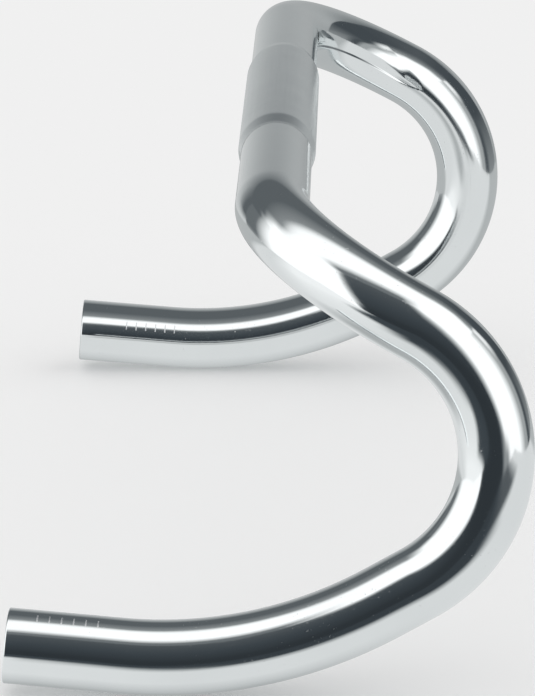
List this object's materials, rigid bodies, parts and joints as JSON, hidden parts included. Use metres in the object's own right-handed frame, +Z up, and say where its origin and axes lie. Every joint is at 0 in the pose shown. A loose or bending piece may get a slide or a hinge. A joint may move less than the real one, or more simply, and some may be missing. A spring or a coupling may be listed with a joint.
{
  "type": "drop handlebar",
  "caption": "Polished aluminium drop handlebar for a road bicycle: a bent round tube with open drop ends, pressed cable grooves and a clamp sleeve round its middle.",
  "frame": {"origin": "middle of the stem clamp zone, on the axis of the straight tops", "axes": "+X along the tops to the rider's right, +Y forward, +Z up as the bar is fitted, with the drops' ends pointing back and slightly up"},
  "size_m": [0.4262, 0.1654, 0.1571],
  "materials": {
    "polished_aluminium": "polished",
    "satin_aluminium": "satin"
  },
  "bodies": {
    "root": {"handlebar_tube": "polished_aluminium", "clamp_sleeve": "satin_aluminium"}
  },
  "joints": []
}
